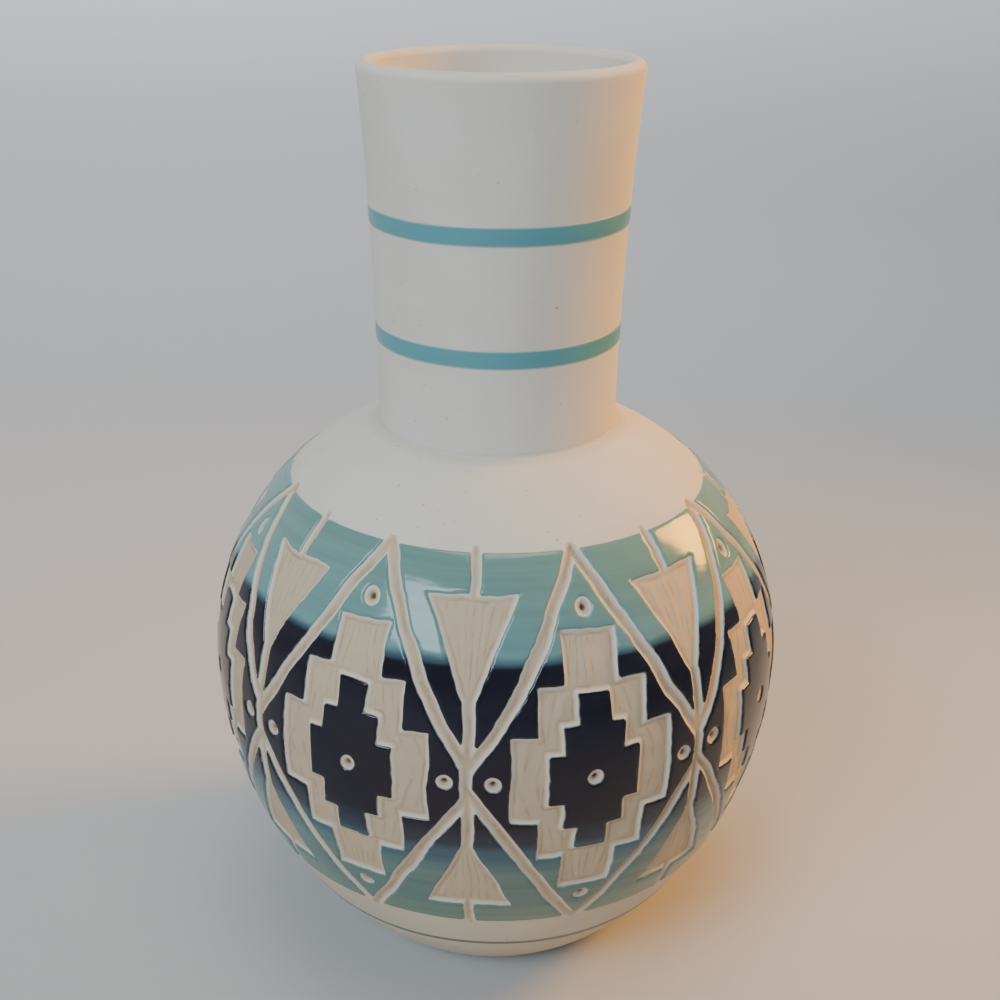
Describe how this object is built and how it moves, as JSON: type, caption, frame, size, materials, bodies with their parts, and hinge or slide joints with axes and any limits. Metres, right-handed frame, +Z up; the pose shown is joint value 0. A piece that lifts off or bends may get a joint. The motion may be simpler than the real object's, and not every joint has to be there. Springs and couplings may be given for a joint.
{
  "type": "pottery vase",
  "caption": "Bottle vase with a round globe body, a tall flared neck and a carved glaze band; stands on a turned foot and holds flowers and water.",
  "frame": {"origin": "centre of the foot ring, on the plane that the vase stands on", "axes": "+Z up along the vase's axis, -Y to the front of the picture"},
  "size_m": [0.1622, 0.1622, 0.2498],
  "materials": {
    "clay": "bare fired clay, matt cream",
    "teal_glaze": "glossy teal glaze",
    "navy_glaze": "glossy blue-black glaze",
    "stripe_glaze": "glossy teal stripe",
    "line_glaze": "thin dull teal line",
    "liner_glaze": "clear glaze over cream clay"
  },
  "bodies": {
    "root": {"globe": "clay", "neck": "clay", "upper_teal_coat": "teal_glaze", "navy_coat": "navy_glaze", "lower_teal_coat": "teal_glaze", "upper_neck_stripe": "stripe_glaze", "lower_neck_stripe": "stripe_glaze", "foot_line": "line_glaze", "inner_glaze": "liner_glaze"}
  },
  "joints": []
}
